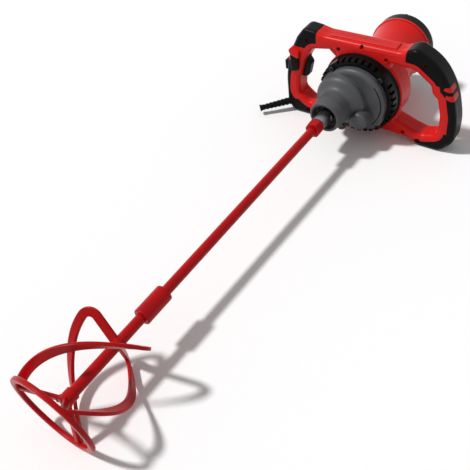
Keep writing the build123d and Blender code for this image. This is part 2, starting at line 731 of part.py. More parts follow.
# ---- handle frame ----
def frame_outline():
    right, left = RIGHT_REACH, -LEFT_REACH
    stations = [
        (64, TOP_Z, 30), (right - 73, TOP_Z + 11, 16), (right - 37, TOP_Z - 8, 80), (right - 11, 34, 130),
        (right, -20, 125), (right - 2, -56, 26), (right - 22, FOOT_Z, 18), (right - 58, FOOT_Z, 12),
        (right - 75, BELLY_Z - 2, 20), (40, BELLY_Z, 40),
        (-40, BELLY_Z, 40), (left + 61, BELLY_Z - 4, 20), (left + 42, FOOT_Z, 12), (left + 9, FOOT_Z, 14),
        (left, -58, 20), (left + 1, -10, 120), (left + 9, 34, 90), (left + 27, 70, 30),
        (left + 41, TOP_Z + 6, 12), (left + 61, TOP_Z + 4, 14), (left + 79, TOP_Z, 30),
    ]
    return rounded_outline(stations)


def loop_outlines():
    right = RIGHT_REACH - RIGHT_GRIP_W
    left = -(LEFT_REACH - LEFT_GRIP_W)
    right_loop = rounded_outline([
        (46, 60, 4), (right - 45, 58, 14), (right - 18, 38, 12), (right - 15, 25, 7), (right - 6, 17, 7),
        (right, -12, 30), (right, -47, 12), (right - 25, -55, 14), (right - 43, -50, 20), (50, -36, 4),
    ])
    left_loop = rounded_outline([
        (-46, 62, 4), (left + 28, 54, 14), (left + 12, 30, 20), (left, -8, 30),
        (left - 3, -36, 12), (left + 16, -52, 14), (-50, -38, 4),
    ])
    loops = []
    for loop in (right_loop, left_loop):
        open_loop = loop - Circle(HUB_R)
        sharp = [v for v in open_loop.vertices() if abs(math.hypot(v.X, v.Y) - HUB_R) < 0.05]
        loops.append(fillet(sharp, 4))
    return loops


def frame_body(inset=0.0, edge=0.0):
    """The whole handle frame, or the same form set in by a wall all over."""
    outline = frame_outline()
    loops = loop_outlines()
    if inset:
        outline = offset(outline, -inset)
        loops = [offset(loop, inset) for loop in loops]
    face = outline
    for loop in loops:
        face = face - loop
    low, high = FRAME_Y + inset, FRAME_Y + FRAME_W - inset
    body = prism(Pos(*MOTOR) * face, low, high)
    if edge:
        body = outer_round(body, edge, low)
        body = outer_round(body, edge, high)
    return body


def loop_band(grow):
    """All that lies within this distance of the two handle loops."""
    face = Sketch()
    for loop in loop_outlines():
        face += offset(loop, grow)
    return prism(Pos(*MOTOR) * face, FRAME_Y - 9, FRAME_Y + FRAME_W + 9)


def region(x_low, x_high, z_low, z_high):
    """A box over part of the frame, with x measured from the motor axis."""
    size = (x_high - x_low, FRAME_W + 20, z_high - z_low)
    centre = (MOTOR[0] + (x_low + x_high) / 2, SPLIT_Y, (z_low + z_high) / 2)
    return Pos(*centre) * Box(*size)


def skins(frame, core):
    """Soft overmoulds: the outside of the frame beyond a red band round each loop."""
    right, left = RIGHT_REACH, -LEFT_REACH
    skin = frame - core
    right_skin = skin - loop_band(RIGHT_BAND)
    switch_zone = region(-FAR, left + 25, SWITCH_LOW_Z, SWITCH_TOP_Z)
    left_skin = skin - (loop_band(LEFT_BAND) - switch_zone) - loop_band(SWITCH_BAND)
    narrow_skin = skin - loop_band(BAND)
    zones = {
        "top_right_bumper": (narrow_skin, region(right - 87, FAR, GRIP_Z, FAR)),
        "right_grip_cover": (right_skin, region(right - 59, FAR, GRIP_LOW_Z, GRIP_Z)),
        "bottom_right_bumper": (narrow_skin, region(right - 63, FAR, -FAR, GRIP_LOW_Z)),
        "top_left_bumper": (narrow_skin, region(-FAR, left + 65, 54, FAR)),
        "left_grip_cover": (left_skin, region(-FAR, left + 25, -50, SWITCH_TOP_Z)),
        "bottom_left_bumper": (narrow_skin, region(-FAR, left + 47, -FAR, -50)),
    }
    return {name: one_solid(cover & zone) for name, (cover, zone) in zones.items()}


def chevron_zone():
    """Two slanted bars through the right grip's skin, for its coloured inserts."""
    bars = []
    for along in CHEVRON_STEPS:
        bar = Box(CHEVRON_REACH, CHEVRON_DEPTH, CHEVRON_W)
        bar = fillet(bar.edges().filter_by(Axis.X), CHEVRON_W * 0.35)
        out_x = MOTOR[0] + RIGHT_REACH - 8 - along * 0.2
        spot = (out_x, FRAME_Y + CHEVRON_DEPTH / 2 - 1, CHEVRON_Z + along)
        bars.append(Pos(*spot) * Rot(0, CHEVRON_LEAN, 0) * bar)
    return bars


def frame_screw_axes():
    """Three screws over the hub, then one near each end of the loops."""
    hub_sites = [polar(HUB_R + 9, angle) for angle in (58, 90, 121)]
    loop_sites = [
        (RIGHT_REACH - 58, -66), (44 - LEFT_REACH, -66), (75, -57.5), (71 - LEFT_REACH, -57),
        (RIGHT_REACH - 57, 68), (48 - LEFT_REACH, 69),
    ]
    return [(MOTOR[0] + x, z) for x, z in hub_sites + loop_sites]


def screw_sites(radius, start, end):
    face = Sketch()
    for axis in frame_screw_axes():
        face += Pos(*axis) * Circle(radius)
    return prism(face, start, end)


def frame_screws():
    head_r = SITE_HEAD_R - 0.2
    group = [
        pan_screw(axis, SITE_SEAT_Y, SITE_TIP_Y, head_r, SITE_SCREW_R, 2.4) for axis in frame_screw_axes()
    ]
    return Compound(children=group)


def trigger_outline(grow=0.0):
    x, z = TRIGGER_PIN
    face = rounded_outline([
        (x - 6, z + 3.5, 2), (x + 6, z + 3.5, 3), (x + 15.5, z - 10, 7), (x + 9, z - 35, 5), (x, z - 39, 2),
        (x - 9, z - 37, 2),
    ])
    return offset(face, grow) if grow else face


def trigger():
    body = prism(Pos(*MOTOR) * trigger_outline(), SPLIT_Y - TRIGGER_W / 2, SPLIT_Y + TRIGGER_W / 2)
    inner = body.edges().filter_by_position(Axis.X, trigger_axis()[0] + 7, MOTOR[0])
    body = fillet(inner.filter_by(lambda e: abs(abs(e.center().Y - SPLIT_Y) - TRIGGER_W / 2) < 0.01), 2)
    return body - rod(TRIGGER_PIN_R + RUN_GAP, SPLIT_Y - 20, SPLIT_Y + 20, trigger_axis())


def pin_half():
    """Half the trigger pin's length, so that it ends inside both shells."""
    return FRAME_W / 2 - 4


def trigger_axis():
    return (MOTOR[0] + TRIGGER_PIN[0], TRIGGER_PIN[1])


def trigger_slot():
    face = Pos(TRIGGER_PIN[0] + 1, TRIGGER_PIN[1] - 17) * Rectangle(34, 46)
    half_w = TRIGGER_W / 2 + MOVE_GAP
    return prism(Pos(*MOTOR) * face, SPLIT_Y - half_w, SPLIT_Y + half_w)


def button_seat(clear=0.0):
    size = (22, BUTTON_W + 2 * clear, BUTTON_H + 2 * clear)
    return Pos(MOTOR[0] - LEFT_REACH + 9, SPLIT_Y, BUTTON_Z) * Box(*size)


def lock_button():
    face_x = MOTOR[0] - LEFT_REACH + 1 - BUTTON_PROUD
    body = Pos(face_x + 7, SPLIT_Y, BUTTON_Z) * Box(14, BUTTON_W, BUTTON_H)
    outer = body.faces().sort_by(Axis.X)[0]
    return fillet(outer.edges(), 2)


def switch_housing(frame):
    """Raised red guard over the switch, on the outer front edge of the left grip."""
    block = Pos(MOTOR[0] - LEFT_REACH + 12, FRAME_Y + 7, 40) * Box(22, 26, 24)
    block = fillet(block.edges(), 4)
    return one_solid(block - frame)


def switch_module():
    width = FRAME_W - 2 * (SKIN + SHELL_WALL) - 2 * FIT_GAP
    body = Pos(MOTOR[0] - LEFT_REACH + 11, SPLIT_Y, -22) * Box(8, width, 32)
    plunger = Pos(MOTOR[0] - LEFT_REACH + 16, SPLIT_Y, -9.5) * Box(2, 6, 5)
    return body + plunger


def speed_dial():
    axis = (MOTOR[0] + DIAL[0], DIAL[1])
    back = FRAME_Y + FRAME_W
    body = rod(DIAL_R, back - DIAL_DEPTH, back + DIAL_PROUD, axis)
    grooves = Sketch()
    for index in range(DIAL_GROOVES):
        grooves += Pos(*polar(DIAL_R, 360 / DIAL_GROOVES * index, axis)) * Circle(0.7)
    body -= prism(grooves, back, back + DIAL_PROUD + 1)
    body -= Pos(axis[0], back + DIAL_PROUD, axis[1] + DIAL_R * 0.6) * Box(1.2, 1, DIAL_R * 0.5)
    return body + rod(DIAL_STEM_R, back - DIAL_DEPTH - 3, back - DIAL_DEPTH, axis)


def dial_pocket():
    axis = (MOTOR[0] + DIAL[0], DIAL[1])
    back = FRAME_Y + FRAME_W
    room = rod(DIAL_R + MOVE_GAP, back - DIAL_DEPTH - 0.3, back + 5, axis)
    return room + rod(DIAL_STEM_R + RUN_GAP, back - DIAL_DEPTH - 10, back, axis)


def cord_place():
    origin = (MOTOR[0] + CORD_ROOT[0], CORD_ROOT[1], CORD_ROOT[2])
    return Plane(origin=origin, z_dir=CORD_WAY).location


def cord_sleeve():
    """Tapered bend sleeve with ribs and a lip, hollow for the cord."""
    start, end = CORD_START, CORD_SLEEVE_L
    points = [(CORD_BORE_R, start), (CORD_FLANGE_R, start), (CORD_FLANGE_R, start + 2)]
    rib_from = start + 16
    pitch = (end - 4 - rib_from) / CORD_RIBS

    def cone(s):
        share = (s - start) / (end - start)
        return CORD_SLEEVE_R + (CORD_TIP_R - CORD_SLEEVE_R) * share

    points.append((cone(start + 2), start + 2))
    for index in range(CORD_RIBS):
        low = rib_from + index * pitch
        high = low + pitch * 0.4
        outer, root = cone(low), cone(low) - 0.8
        points += [(outer, low), (root, low), (root, high), (outer, high)]
    lip = CORD_TIP_R + 1
    points += [(CORD_TIP_R, end - 3), (lip, end - 3), (lip, end), (CORD_BORE_R, end)]
    face = make_face(Polyline(*[(r, 0, s) for r, s in points], close=True))
    return cord_place() * revolve(face, Axis.Z)


def cord_way():
    """Room for the sleeve and its flange through the lower corner of the left grip."""
    upright = (Align.CENTER, Align.CENTER, Align.MIN)
    body = Cylinder(CORD_SLEEVE_R + 0.2, 60, align=upright)
    wide = Cylinder(CORD_FLANGE_R + 0.2, CORD_START + 2.2, align=upright)
    return cord_place() * (body + wide)


def frame_parts():
    frame = frame_body(edge=EDGE_R)
    core = frame_body(SKIN, EDGE_R - SKIN)
    cavity = frame_body(SKIN + SHELL_WALL)
    panel = Pos(MOTOR[0] - 1, SPLIT_Y, TOP_Z + 0.2) * Box(PANEL_L, FRAME_W - 16, 4)
    panel = fillet(panel.faces().sort_by(Axis.Z)[-1].edges(), 1.5)
    recess_y = MOTOR_Y + MOTOR_FLANGE_T
    ring_recess = rod(RING_R + 0.2, FRAME_Y - 1, recess_y, MOTOR)
    bore = rod(MOTOR_NECK_R + FIT_GAP, recess_y - 1, FRAME_Y + FRAME_W + 20, MOTOR)
    rim = rod(HUB_R, FRAME_Y + FRAME_W - 8, FRAME_Y + FRAME_W + HUB_BACK, MOTOR)
    rim = fillet(rim.edges().sort_by(Axis.Y)[-1], 4)
    hub_wall = rod(HUB_R - 1, FRAME_Y, FRAME_Y + FRAME_W, MOTOR)
    covers = skins(frame, core)
    seat = button_seat(MOVE_GAP)
    way = cord_way()
    covers["left_grip_cover"] = one_solid(covers["left_grip_cover"] - seat)
    covers["bottom_left_bumper"] = one_solid(covers["bottom_left_bumper"] - way)
    grip = covers["right_grip_cover"]
    inserts = [one_solid(grip & bar) for bar in chevron_zone()]
    covers["right_grip_cover"] = one_solid(grip - chevron_zone())
    hollow = cavity - hub_wall - screw_sites(SITE_HEAD_R + 2, FRAME_Y, FRAME_Y + FRAME_W)
    pin_holes = rod(TRIGGER_PIN_R, SPLIT_Y - pin_half() - 0.1, SPLIT_Y + pin_half() + 0.1, trigger_axis())
    shell = frame + panel + rim
    shell -= [hollow, ring_recess, bore, seat, trigger_slot(), dial_pocket(), way, pin_holes]
    shell -= [
        screw_sites(SITE_HEAD_R, FRAME_Y - 1, SITE_SEAT_Y),
        screw_sites(SITE_SCREW_R, FRAME_Y, SITE_TIP_Y),
    ]
    shell -= [cover for cover in covers.values()] + inserts
    half = 2 * FAR
    front_box = Pos(MOTOR[0], SPLIT_Y - half / 2, 0) * Box(half, half, half)
    back_box = Pos(MOTOR[0], SPLIT_Y + half / 2, 0) * Box(half, half, half)
    holes = screw_sites(SITE_HEAD_R, FRAME_Y - 1, SITE_SEAT_Y)
    covers = {name: one_solid(cover - holes) for name, cover in covers.items()}
    parts = dict(covers)
    parts["front_frame_shell"] = one_solid(shell & front_box)
    parts["rear_frame_shell"] = one_solid(shell & back_box)
    parts["right_grip_inserts"] = Compound(children=inserts)
    parts["switch_housing"] = switch_housing(frame)
    return parts


# ---- whisk ----
def whisk_adaptor():
    hexagon = prism(RegularPolygon(HEX_FLATS / 2, 6, major_radius=False), HEX_Y, HEX_Y + HEX_L)
    corner = HEX_FLATS / math.sqrt(3)
    taper = 2.5
    envelope = turned([
        (0, HEX_Y), (corner - taper, HEX_Y), (corner + 0.2, HEX_Y + taper),
        (corner + 0.2, HEX_Y + HEX_L - taper), (corner - taper, HEX_Y + HEX_L), (0, HEX_Y + HEX_L),
    ])
    head = hexagon & envelope
    stud = rod(STUD_R, HEX_Y + HEX_L, STUD_L - NOSE_OUT)
    return head + stud - rod(ROD_R, HEX_Y - 1, ROD_SOCKET_END)


def rods():
    """Upper and lower halves of the shaft, which meet inside the sleeve."""
    join = SLEEVE_Y + SLEEVE_L / 2
    return rod(ROD_R, join, ROD_SOCKET_END), rod(ROD_R, SHAFT_END, join)


def coupling_sleeve():
    body = rod(SLEEVE_R, SLEEVE_Y, SLEEVE_Y + SLEEVE_L)
    body = fillet(body.edges(), 1.8)
    return body - rod(ROD_R, SLEEVE_Y - 1, SLEEVE_Y + SLEEVE_L + 1)


def whisk_hub():
    end = SHAFT_END + HUB_TUBE_L
    body = rod(HUB_TUBE_R, SHAFT_END - 4, end)
    body = fillet(body.edges(), 1.5)
    return body - rod(ROD_R, SHAFT_END, end + 1)


def whisk_ring():
    top = RING_BASE + RING_BAR_T
    body = tube(WHISK_R, WHISK_R - RING_BAR_W, RING_BASE, top)
    return fillet(body.edges(), 2)


def blade_plane(share, low):
    """Section plane a share of the way up the helical part of a blade."""
    turn = math.radians(BLADE_SWEEP) * share
    mid_r = WHISK_R - BLADE_W / 2
    height = BLADE_TOP - low
    outward = Vector(math.cos(turn), math.sin(turn), 0)
    round_way = Vector(-math.sin(turn), math.cos(turn), 0) * mid_r * math.radians(BLADE_SWEEP)
    return Plane(origin=outward * mid_r + Vector(0, 0, low + height * share), x_dir=outward,
                 z_dir=round_way + Vector(0, 0, height))


def bend_plan():
    """Flat plan of the bend and the arm: local x is the radius, local y runs on from the ribbon."""
    bend_x = WHISK_R - BLADE_W - BLADE_BEND
    middle = BLADE_BEND + BLADE_W / 2
    slope = math.asin(middle / bend_x)
    angles = [(math.pi / 2 + slope) * share for share in (0, 0.5, 1)]

    def arc(radius):
        return [(bend_x + radius * math.cos(a), radius * math.sin(a)) for a in angles]

    outer, inner = arc(BLADE_BEND + BLADE_W), arc(BLADE_BEND)
    across_arm = Vector(-math.sin(slope), math.cos(slope)) * (BLADE_W / 2)
    foot = Vector(math.cos(slope), math.sin(slope)) * (ROD_R - 0.5)
    arm = Polyline(outer[2], foot + across_arm, foot - across_arm, inner[2])
    edge = ThreePointArc(*outer) + arm + ThreePointArc(*reversed(inner)) + Line(inner[0], outer[0])
    return make_face(edge)


def is_long_arm_edge(edge):
    """True for the edges along both faces of the flat arm, but not across its ends."""
    middle = edge.center()
    on_face = abs(abs(middle.Z) - BLADE_T / 2) < 0.01
    return on_face and middle.X > ROD_R and abs(middle.Y) > 0.01


def blade(turn):
    """One helical ribbon that bends over into a flat arm to the shaft."""
    low = RING_BASE + RING_BAR_T - 1
    section = RectangleRounded(BLADE_W, BLADE_T, BLADE_ROUND)
    stations = [blade_plane(index / (BLADE_STATIONS - 1), low) for index in range(BLADE_STATIONS)]
    ribbon = loft([plane * section for plane in stations])
    arm = extrude(bend_plan(), amount=BLADE_T / 2, both=True)
    arm = fillet(arm.edges().filter_by(is_long_arm_edge), BLADE_ROUND)
    run = (WHISK_R - BLADE_W / 2) * math.radians(BLADE_SWEEP)
    lead = math.degrees(math.atan2(BLADE_TOP - low, run))
    arm = Rot(0, 0, BLADE_SWEEP) * Pos(0, 0, BLADE_TOP) * Rot(lead, 0, 0) * arm
    return Rot(-90, 0, 0) * Rot(0, 0, turn) * (ribbon + arm)


def blades(ring, lower_rod):
    group = []
    for index in range(BLADE_COUNT):
        turn = BLADE_START - 90 + 360 / BLADE_COUNT * index
        group.append(one_solid(blade(turn) - ring - lower_rod))
    return group


def lower_arms(ring, hub, ribbons):
    """Three flat arms from the hub down to the ring."""
    group = []
    hub_mid = SHAFT_END + 2
    for index in range(BLADE_COUNT):
        reach = Edge.make_line((0, hub_mid, 0), (WHISK_R - RING_BAR_W / 2, RING_BASE + RING_BAR_T / 2, 0))
        plane = Plane(origin=reach @ 0, x_dir=(0, 0, 1), z_dir=reach % 0)
        arm = extrude(plane * RectangleRounded(ARM_W, ARM_T, 2), amount=reach.length)
        arm = Rot(0, BLADE_START - 90 + 360 / BLADE_COUNT * index, 0) * arm
        group.append(one_solid(arm - ring - hub - ribbons[index]))
    return Compound(children=group)


def drive_parts():
    """Everything that turns, with the bearings that carry it."""
    parts = {}
    parts["output_spindle"] = output_spindle()
    parts["output_gear"] = output_gear()
    parts["lay_shaft"] = lay_shaft()
    parts["lay_wheel"] = lay_wheel()
    parts["armature_shaft"] = armature_shaft()
    parts["armature_core"] = armature_core()
    parts["commutator"] = commutator()
    parts["cooling_fan"] = cooling_fan()
    bearing_y = MOUTH_DEPTH + SEAL_T
    parts["spindle_seal"] = seal_lip_ring()
    parts["spindle_bearing"] = ring_bearing(
        JOURNAL_R + RUN_GAP, FRONT_BEARING_R, bearing_y, FRONT_BEARING_W, SPINDLE)
    tail_y = FAST_GEAR_Y - 2
    parts["spindle_tail_bush"] = tube(TAIL_BUSH_R, TAIL_R + RUN_GAP, tail_y, tail_y + TAIL_BUSH_W)
    bush_y = LAY_BOSS_Y + CAST_WALL
    parts["lay_shaft_bush"] = tube(LAY_BUSH_R, LAY_JOURNAL_R + RUN_GAP, bush_y, bush_y + LAY_BUSH_W, LAY)
    parts["lay_shaft_bearing"] = ring_bearing(
        LAY_JOURNAL_R + RUN_GAP, LAY_BEARING_R, PLATE_Y, LAY_BEARING_W, LAY)
    parts["armature_front_bearing"] = ring_bearing(
        ARM_FRONT_R + RUN_GAP, ARM_FRONT_BEARING_R, PLATE_Y + 1.5, ARM_BEARING_W, MOTOR)
    parts["armature_rear_bearing"] = ring_bearing(
        ARM_REAR_R + RUN_GAP, ARM_REAR_BEARING_R, REAR_BEARING_Y, REAR_BEARING_W, MOTOR)
    return parts


def housing_parts():
    """Gearbox, motor and their fixed contents."""
    parts = {}
    parts["gearbox_housing"] = gearbox_housing()
    parts["gearbox_plate"] = gearbox_plate()
    parts["gearbox_screws"] = gearbox_screws()
    parts["grease_plug"] = grease_plug()
    parts["gear_shroud"] = gear_shroud()
    parts["vent_ring"] = vent_ring()
    parts["motor_housing"] = motor_housing()
    parts["rear_cap"] = rear_cap()
    parts["rear_cap_screws"] = rear_cap_screws()
    parts["field_stator"] = field_stator()
    parts["field_coils"] = field_coils()
    parts["brush_holders"], parts["carbon_brushes"] = brush_parts()
    return parts


def handle_parts():
    """The handle frame with its controls."""
    parts = frame_parts()
    parts["frame_screws"] = frame_screws()
    parts["trigger"] = trigger()
    pin_front, pin_back = SPLIT_Y - pin_half(), SPLIT_Y + pin_half()
    parts["trigger_pin"] = rod(TRIGGER_PIN_R, pin_front, pin_back, trigger_axis())
    parts["lock_button"] = lock_button()
    parts["switch_module"] = switch_module()
    parts["speed_dial"] = speed_dial()
    parts["cord_sleeve"] = cord_sleeve()
    return parts


def whisk_parts():
    """Adaptor, shaft and the three-bladed whisk."""
    parts = {}
    parts["whisk_adaptor"] = whisk_adaptor()
    parts["upper_rod"], parts["lower_rod"] = rods()
    parts["coupling_sleeve"] = coupling_sleeve()
    ring = whisk_ring()
    hub = whisk_hub()
    parts["whisk_ring"] = ring
    parts["whisk_hub"] = hub
    ribbons = blades(ring, parts["lower_rod"])
    parts["whisk_lower_arms"] = lower_arms(ring, hub, ribbons)
    for number, ribbon in enumerate(ribbons, 1):
        parts[f"blade_{number}"] = ribbon
    return parts


def build():
    return drive_parts() | housing_parts() | handle_parts() | whisk_parts()


os.makedirs("parts", exist_ok=True)
for name, shape in build().items():
    export_step(shape, f"parts/{name}.step")
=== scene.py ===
"""Looks for the paint mixer: materials, weld beads, switch guard, corner web, camera, light, floor."""
import json
import math
import random

import bmesh
import bpy
from mathutils import Matrix, Vector


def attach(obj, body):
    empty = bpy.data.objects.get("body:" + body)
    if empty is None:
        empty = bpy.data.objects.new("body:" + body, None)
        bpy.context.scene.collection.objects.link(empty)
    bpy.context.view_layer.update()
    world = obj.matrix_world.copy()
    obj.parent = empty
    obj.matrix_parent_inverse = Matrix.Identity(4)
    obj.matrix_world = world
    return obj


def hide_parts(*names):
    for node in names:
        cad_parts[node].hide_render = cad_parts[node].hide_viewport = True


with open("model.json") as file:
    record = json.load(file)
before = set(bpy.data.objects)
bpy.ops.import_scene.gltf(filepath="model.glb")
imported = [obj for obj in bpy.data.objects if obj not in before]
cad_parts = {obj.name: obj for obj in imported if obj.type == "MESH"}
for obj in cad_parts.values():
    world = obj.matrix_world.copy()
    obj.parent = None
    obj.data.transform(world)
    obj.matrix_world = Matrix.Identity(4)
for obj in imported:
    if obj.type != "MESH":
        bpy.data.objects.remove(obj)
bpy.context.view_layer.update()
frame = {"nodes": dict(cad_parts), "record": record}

MM = 0.001

# Camera: fitted view of the tool lying on its side, in the row frame.
CAMERA_AT = Vector((0.41780, -0.68569, 0.59293))
CAMERA_RIGHT = Vector((0.80659569, 0.57503655, -0.1368808))
CAMERA_UP = Vector((-0.34439095, 0.64537338, 0.68182701))
CAMERA_FORWARD = Vector((-0.48041468, 0.50281822, -0.71859277))
IMAGE_SIDE = 470
FOCAL_PIXELS = 624.2
SENSOR = 36.0

# Floor: touches the whisk ring and the two lower bumpers.
RING_REST = Vector((0, -0.590, -0.0602))
BUMPER_REST = Vector((0, 0.104, -0.0772))
FLOOR_SIDE = 60.0
FLOOR_TONES = (0.78, 0.82)

# Light.
KEY_STRENGTH = 2.5
KEY_SOFTNESS = math.radians(6)
KEY_DROP = Vector((0.55, 0.30, -1.0))
FILL_STRENGTH = 0.33

# Colours, linear.
SHELL_RED = (0.66, 0.012, 0.010)
PAINT_RED = (0.42, 0.0015, 0.0035)
CASTING_GREY = (0.078, 0.080, 0.084)
SOFT_BLACK = (0.0035, 0.0035, 0.0038)
HARD_BLACK = (0.006, 0.006, 0.0062)

# Handle frame: where its two shells meet, in metres along Y, how deep (mm) the seam is sunk, and how dark
# its painted shade is.
PARTING_Y = 0.104
PARTING_HALF = 0.0003
PARTING_DEPTH = 0.15
PARTING_PAINTED_SHADE = 0.18

# Switch guard and black insert on the left grip: front and back corners in millimetres, with x
# measured from the motor's axis, and the radius of their edges.
MOTOR_X = 18.0
GUARD_FRONT = ((-131, 78, 50), (-108, 78, 42), (-112, 80, 34), (-128, 80, 40))
GUARD_BACK = ((-122, 101, 58), (-117, 101, 53), (-119, 101, 36), (-131, 101, 42))
INSERT_FRONT = ((-130, 82, 44), (-112, 82, 38), (-113, 82.5, 11), (-130, 82.5, 7))
INSERT_BACK = ((-128, 95, 42), (-119, 95, 37), (-119, 92, 9), (-132, 92, 5))
GUARD_ROUND = 3.2
INSERT_ROUND = 3.0
ROUND_STEPS = 5

# Web across the upper inner corner of the left opening.
WEB_OUTLINE = ((-66, 69), (-47, 69), (-41, 60), (-38, 44))
WEB_Y = (88.5, 116.0)
WEB_ROUND = 1.6

# Whisk, as in the CAD: millimetres and degrees.
ROD_R = 7.0
HUB_R = 8.8
BLADE_W = 12.0
BLADE_T = 4.4
BLADE_TOP = -480.0
BLADE_SWEEP = 137.0
BLADE_LEAD = math.radians(38.6)
BEND_MID_R = 12.0
BEND_X = 42.0
RING_TOP = -582.0
RING_ROUND = 2.0
RING_IN_R = 52.0
RING_OUT_R = 60.0
ARM_START = -564.0
ARM_FALL = 21.0 / 56.0
ARM_W = 9.2
ARM_T = 5.0
TURNS = (-168.0, -48.0, 72.0)
FOOT_SHIFT = 1.3
ARM_SPREAD = 0.2

# Weld beads: millimetres, and shares of the bead's own size.
BEAD_R = 1.15
BEAD_RIPPLE = 1.5
RIPPLE_SHARE = 0.16
BEAD_CHANCE = 0.06
BEAD_END = 0.45
BEAD_FLATNESS = 0.8
BEAD_STEP = 0.45
BEAD_SIDES = 8
RING_BEAD_INSET = 0.9
RING_BEAD_POINTS = 15
ARM_BEAD_DROP = 1.6


# ---- materials ----
def scaled(colour, factor):
    return tuple(min(1.0, value * factor) for value in colour) + (1.0,)


class Shader:
    """Adds nodes to one material and links them as they are made."""

    def __init__(self, name):
        self.material = bpy.data.materials.new(name)
        self.material.use_nodes = True
        self.tree = self.material.node_tree
        self.bsdf = self.tree.nodes["Principled BSDF"]
        coordinates = self.tree.nodes.new("ShaderNodeTexCoord")
        self.place = coordinates.outputs["Object"]

    def add(self, kind, links=(), **settings):
        node = self.tree.nodes.new(kind)
        inputs = settings.pop("inputs", {})
        for key, value in settings.items():
            setattr(node, key, value)
        for key, value in inputs.items():
            node.inputs[key].default_value = value
        for key, source in dict(links).items():
            self.tree.links.new(source, node.inputs[key])
        return node

    def noise(self, size_mm, detail=2.0, roughness=0.5, stretch=None):
        source = self.place
        if stretch:
            mapping = self.add("ShaderNodeMapping", {"Vector": source}, inputs={"Scale": stretch})
            source = mapping.outputs["Vector"]
        node = self.add("ShaderNodeTexNoise", {"Vector": source},
                        inputs={"Scale": 1.0 / (size_mm * MM), "Detail": detail, "Roughness": roughness})
        return node.outputs["Fac"]

    def remap(self, value, low, high, to_low, to_high):
        node = self.add("ShaderNodeMapRange", {"Value": value},
                        inputs={"From Min": low, "From Max": high, "To Min": to_low, "To Max": to_high})
        return node.outputs["Result"]

    def mix(self, factor, first, second):
        node = self.add("ShaderNodeMix", {"Factor": factor}, data_type="RGBA")
        for socket, value in (("A", first), ("B", second)):
            target = [s for s in node.inputs if s.name == socket and s.type == "RGBA"][0]
            if isinstance(value, tuple):
                target.default_value = value
            else:
                self.tree.links.new(value, target)
        return [s for s in node.outputs if s.type == "RGBA"][0]

    def maths(self, operation, first, second=0.0):
        node = self.add("ShaderNodeMath", operation=operation)
        for index, value in enumerate((first, second)):
            if isinstance(value, (int, float)):
                node.inputs[index].default_value = value
            else:
                self.tree.links.new(value, node.inputs[index])
        return node.outputs[0]

    def round_edges(self, radius_mm):
        node = self.add("ShaderNodeBevel", inputs={"Radius": radius_mm * MM}, samples=4)
        return node.outputs["Normal"]

    def edge_mask(self, radius_mm, low=0.02, high=0.25):
        """One on worn outer edges, broken up by noise."""
        soft = self.round_edges(radius_mm)
        plain = self.add("ShaderNodeNewGeometry").outputs["Normal"]
        along = self.add("ShaderNodeVectorMath", {0: soft, 1: plain}, operation="DOT_PRODUCT")
        edge = self.remap(self.maths("SUBTRACT", 1.0, along.outputs["Value"]), low, high, 0.0, 1.0)
        patchy = self.remap(self.noise(9, 4), 0.42, 0.62, 0.0, 1.0)
        return self.maths("MULTIPLY", edge, patchy)

    def band(self, at, half):
        """One on a thin band across Y, as where two mouldings meet."""
        y = self.add("ShaderNodeSeparateXYZ", {"Vector": self.place}).outputs["Y"]
        away = self.maths("ABSOLUTE", self.maths("SUBTRACT", y, at))
        return self.remap(away, half * 0.5, half, 1.0, 0.0)

    def bump(self, height, depth_mm, normal=None):
        links = {"Height": height}
        if normal is not None:
            links["Normal"] = normal
        node = self.add("ShaderNodeBump", links, inputs={"Strength": 1.0, "Distance": depth_mm * MM})
        return node.outputs["Normal"]

    def set(self, name, value):
        if isinstance(value, (int, float, tuple)):
            self.bsdf.inputs[name].default_value = value
        else:
            self.tree.links.new(value, self.bsdf.inputs[name])


def surface(name, colour, roughness, *, metallic=0.0, vary=0.06, patch=40, grain=0.5, depth=0.02,
            edge=0.5, worn=None, wear=0.3, specular=0.5, brushed=None, parting=False):
    """A moulded, cast, painted or machined surface with grain, soft edges and light wear."""
    shader = Shader(name)
    blotch = shader.noise(patch, 3)
    tone = shader.mix(shader.remap(blotch, 0.3, 0.7, 0.0, 1.0),
                      scaled(colour, 1 - vary), scaled(colour, 1 + vary))
    if worn:
        mask = shader.maths("MULTIPLY", shader.edge_mask(edge), wear)
        tone = shader.mix(mask, tone, tuple(worn) + (1.0,))
    fine = shader.noise(grain, 2, stretch=brushed)
    normal = shader.bump(fine, depth, shader.round_edges(edge))
    if parting:
        seam_dip_and_painted_shade = shader.band(PARTING_Y, PARTING_HALF)
        # The seam's colour is darkened as painted shade where the sunk line would lie in shade; its depth is
        # a real bump below.
        tone = shader.mix(seam_dip_and_painted_shade, tone, scaled(colour, PARTING_PAINTED_SHADE))
        normal = shader.bump(shader.maths("SUBTRACT", 1.0, seam_dip_and_painted_shade), PARTING_DEPTH, normal)
    shader.set("Base Color", tone)
    rough = shader.maths("ADD", shader.remap(blotch, 0.3, 0.7, roughness - 0.04, roughness + 0.04),
                         shader.remap(fine, 0.3, 0.7, -0.03, 0.03))
    shader.set("Roughness", rough)
    shader.set("Metallic", metallic)
    shader.set("Specular IOR Level", specular)
    shader.set("Normal", normal)
    return shader.material


